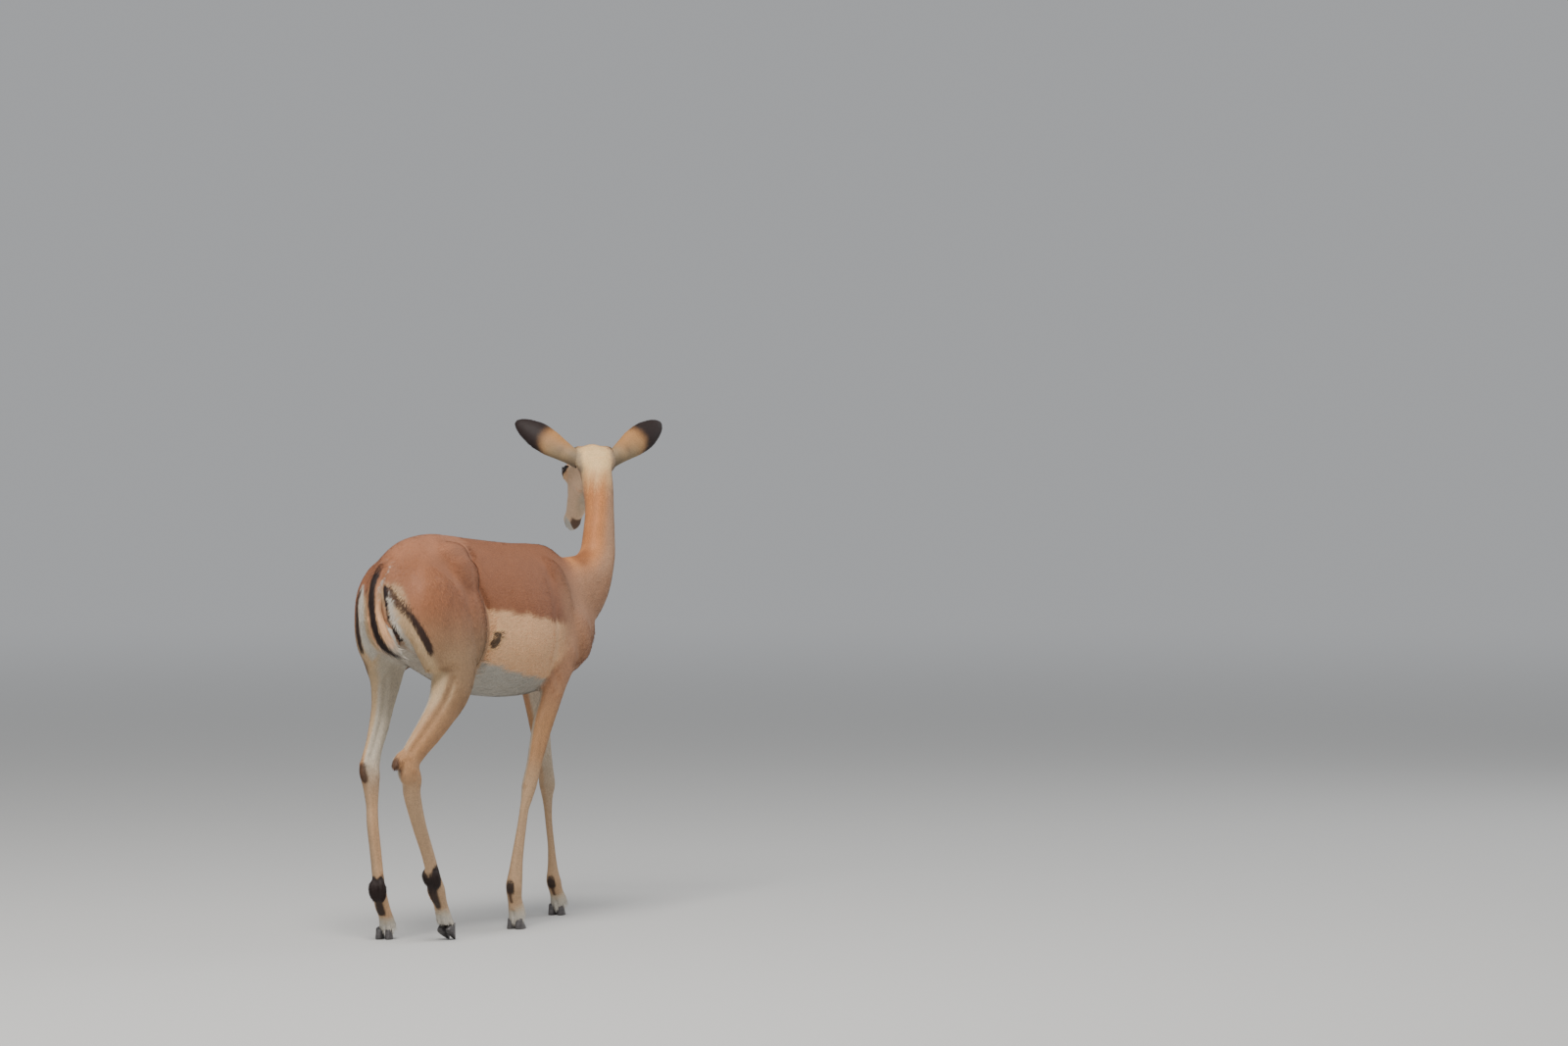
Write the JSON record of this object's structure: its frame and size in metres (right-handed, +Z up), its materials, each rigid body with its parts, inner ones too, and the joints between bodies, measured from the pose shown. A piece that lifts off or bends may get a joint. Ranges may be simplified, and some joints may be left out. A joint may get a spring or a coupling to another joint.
{
  "type": "impala antelope",
  "caption": "Life-size impala ewe standing in mid-step with the head turned to one side, as a still model with fur.",
  "frame": {"origin": "middle of the box round the animal, at the floor", "axes": "+Z up, +X to the animal's left, -Y the way the body faces"},
  "size_m": [0.2897, 1.1209, 1.0959],
  "materials": {
    "coat": "short glossy fur, reddish brown",
    "limb": "short fur, fawn",
    "ear": "short soft fur, fawn with black tips",
    "horn": "dark hoof horn",
    "eye": "wet, near black"
  },
  "bodies": {
    "root": {"trunk": "coat", "neck": "coat", "head": "coat", "tail": "coat", "ear_left": "ear", "ear_right": "ear", "eye_left": "eye", "eye_right": "eye", "gaskin_hind_left": "limb", "gaskin_hind_right": "limb", "cannon_hind_left": "limb", "cannon_hind_right": "limb", "foot_hind_left": "limb", "foot_hind_right": "limb", "forearm_left": "limb", "forearm_right": "limb", "cannon_fore_left": "limb", "cannon_fore_right": "limb", "foot_fore_left": "limb", "foot_fore_right": "limb", "hoof_fore_left_a": "horn", "hoof_fore_left_b": "horn", "hoof_fore_right_a": "horn", "hoof_fore_right_b": "horn", "hoof_hind_left_a": "horn", "hoof_hind_left_b": "horn", "hoof_hind_right_a": "horn", "hoof_hind_right_b": "horn"}
  },
  "joints": []
}
